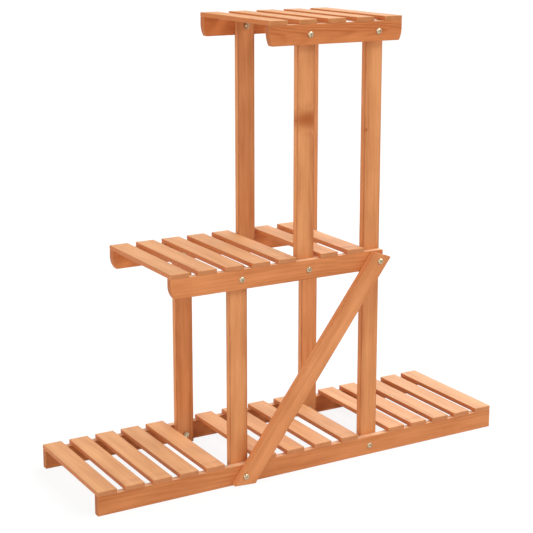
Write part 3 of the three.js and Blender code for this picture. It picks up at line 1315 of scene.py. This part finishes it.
    def _nut(self) -> Piece:
        """Models a nut along Z that bears on the boards at zero.

        Returns:
            The nut.
        """
        corner = self.nut_across_flats / 2 / math.cos(math.pi / 6)
        chamfer = (corner - self.nut_face_radius) * math.tan(math.pi / 6)
        foot = Vector((0.0, 0.0, -self.nut_height))
        piece = Workbench.rod("nut_pattern", corner, foot, Vector(), 6)
        low = foot + Vector((0.0, 0.0, chamfer))
        high = Vector((0.0, 0.0, -chamfer))
        blank = Workbench.rod("turned_blank", corner, low, high, 2 * self.sides)
        share = self.nut_face_radius / corner
        with Workbench.editing(blank):
            Workbench.pick_end(blank, 1)
            self._grow(chamfer, 0.0, share)
            Workbench.pick_end(blank, -1)
            self._grow(-chamfer, foot.z, share)
        Workbench.combine(piece, blank, "INTERSECT")
        bore = self.shank_radius + self.clearance
        mouth = Vector((0.0, 0.0, self.nut_height))
        tap = Workbench.rod("tap", bore, foot * 1.5, mouth, self.sides)
        Workbench.combine(piece, tap, "DIFFERENCE")
        Workbench.polish(piece, self.sharp_angle)
        return piece


# ------------------------------------------------------------------ studio

WHITE = (1.0, 1.0, 1.0, 1.0)


@dataclass(frozen=True)
class Lamp:
    """A wide, soft lamp, far off in one direction, or a square panel where a size is given."""

    name: str
    place: tuple[float, float, float]
    strength: float
    softness: float = 0.0
    panel_size: float = 0.0

    def hang(self) -> None:
        """Adds the lamp to the scene, facing the stand."""
        lamp = bpy.data.lights.new(self.name, "AREA" if self.panel_size else "SUN")
        lamp.energy = self.strength
        if self.panel_size:
            lamp.size = self.panel_size
        else:
            lamp.angle = self.softness
        holder = bpy.data.objects.new(self.name, lamp)
        holder.visible_camera = False
        holder.location = self.place
        holder.rotation_euler = Vector(self.place).to_track_quat("Z", "Y").to_euler()
        bpy.context.scene.collection.objects.link(holder)


@dataclass
class Studio:
    """The pale floor, the soft light and the camera at the photograph's viewing angle."""

    floor_radius: float = 30.0
    floor_sides: int = 96
    floor_grey: float = 0.74
    floor_seen: float = 0.14
    floor_glow: float = 0.88
    sky_strength: float = 0.432
    lamps: tuple[Lamp, ...] = (
        Lamp("key_lamp", (1.20, -1.70, 1.90), 1.02, softness=math.radians(24)),
        Lamp("rim_lamp", (2.10, 0.65, 1.50), 1.60, softness=math.radians(60)),
        Lamp("fill_lamp", (-2.70, -0.90, 1.00), 1.60, softness=math.radians(80)),
        Lamp("panel", (1.65, 1.60, 0.80), 11.0, panel_size=1.2),
    )
    camera_place: Vector = field(default_factory=lambda: Vector((-1.250, -2.1075, 0.979)))
    camera_pitch: float = math.radians(12.17)
    camera_yaw: float = math.radians(30.23)
    sensor: float = 36.0
    lens: float = 93.2
    drop: float = -0.10

    def build(self) -> None:
        """Sets up the studio."""
        bpy.context.scene.view_settings.view_transform = "Standard"
        self._floor()
        self._sky()
        for lamp in self.lamps:
            lamp.hang()
        self._camera()

    @staticmethod
    def _seen(bench: NodeBench) -> Socket:
        """Whether a ray comes from the camera, a gloss or a clear surface, as 0 or 1.

        Args:
            bench: The nodes that ask.

        Returns:
            The answer.
        """
        path = bench.add("ShaderNodeLightPath", {}).outputs
        seen = bench.math("MAXIMUM", path["Is Camera Ray"], path["Is Glossy Ray"])
        return bench.math("MAXIMUM", seen, path["Is Transmission Ray"])

    def _floor(self) -> None:
        """Lays the floor: it takes the stand's shadow, and looks white where nothing shades it."""
        bpy.ops.mesh.primitive_circle_add(
            vertices=self.floor_sides, radius=self.floor_radius, fill_type="NGON"
        )
        floor = bpy.context.object
        floor.name = "floor"
        bench = MaterialBench("pale_floor")
        seen = self._seen(bench)
        grey, pale = ((tone, tone, tone, 1.0) for tone in (self.floor_grey, self.floor_seen))
        bench.set("Base Color", bench.blend(seen, grey, pale))
        bench.set("Roughness", 1.0)
        bench.set("Specular IOR Level", 0.0)
        bench.set("Emission Color", WHITE)
        glow = bench.math("MULTIPLY", seen, self.floor_glow)
        bench.set("Emission Strength", glow)
        floor.data.materials.append(bench.material)

    def _sky(self) -> None:
        """Lights the stand evenly from all round, before a white background."""
        world = bpy.data.worlds.new("studio")
        bpy.context.scene.world = world
        world.use_nodes = True
        bench = NodeBench(world.node_tree)
        background = bench.tree.nodes["Background"].inputs
        inputs = {"Value": self._seen(bench), "To Min": self.sky_strength, "To Max": 1.0}
        bench.feed(background["Color"], WHITE)
        bench.feed(background["Strength"], bench.add("ShaderNodeMapRange", inputs).outputs["Result"])

    def _camera(self) -> None:
        """Puts the camera at the photograph's viewing angle."""
        camera = bpy.data.cameras.new("camera")
        camera.sensor_width = self.sensor
        camera.lens = self.lens
        camera.shift_y = self.drop
        holder = bpy.data.objects.new("camera", camera)
        holder.location = self.camera_place
        holder.rotation_euler = (math.pi / 2 - self.camera_pitch, 0.0, -self.camera_yaw)
        bpy.context.scene.collection.objects.link(holder)
        bpy.context.scene.camera = holder


# ------------------------------------------------------------------ the whole stand


def main() -> None:
    """Builds the stand's sub-assemblies in order, then the studio round it."""
    logging.basicConfig(level=logging.INFO, format="%(name)s: %(message)s")
    patch = Knot(
        along=0.059, across=0.001, through=-0.0065, core=0.0, halo=0.025, darkness=0.9, breadth=2.2
    )
    flames = Figure(
        seed=180, pith_across=-0.004, pith_through=-0.016, ring_width=0.0025, taper=0.050, tone=0.99
    )
    pip = Knot(along=0.057, across=-0.0175, through=-0.002, core=0.0022, halo=0.005, darkness=0.6)
    speck = Knot(along=0.208, across=-0.0145, through=-0.0065, core=0.0024, halo=0.0060, darkness=0.6)
    assemblies = (
        Shelf("lower", seed=100, rail_tone=0.96, slat_tone=1.03),
        Shelf(
            "middle",
            seed=140,
            low_end_inset=8 * MILLIMETRE,
            rail_tone=1.05,
            slat_wood=SATIN_SLAT_WOOD,
            slat_tone=1.02,
        ),
        Shelf(
            "top",
            seed=180,
            low_end_inset=5.5 * MILLIMETRE,
            high_end_inset=5.5 * MILLIMETRE,
            rail_wood=RED_RAIL_WOOD,
            front_rail_figure=flames,
            slat_wood=DULL_SLAT_WOOD,
            slat_tone=1.04,
        ),
        PostPair("short", seed=220, lean=0.1),
        PostPair("upper", seed=234, tone=0.97, lean=0.1, front_knots=(patch, pip)),
        PostPair("tall", seed=240, tone=1.00, front_knots=(speck,), wood=CALM_POST_WOOD),
        BoltedJoints(),
        Brace(),
    )
    for assembly in assemblies:
        for piece in assembly.build():
            log.info("%s: %d faces", piece.name, len(piece.data.polygons))
    Studio().build()


if __name__ == "__main__":
    main()
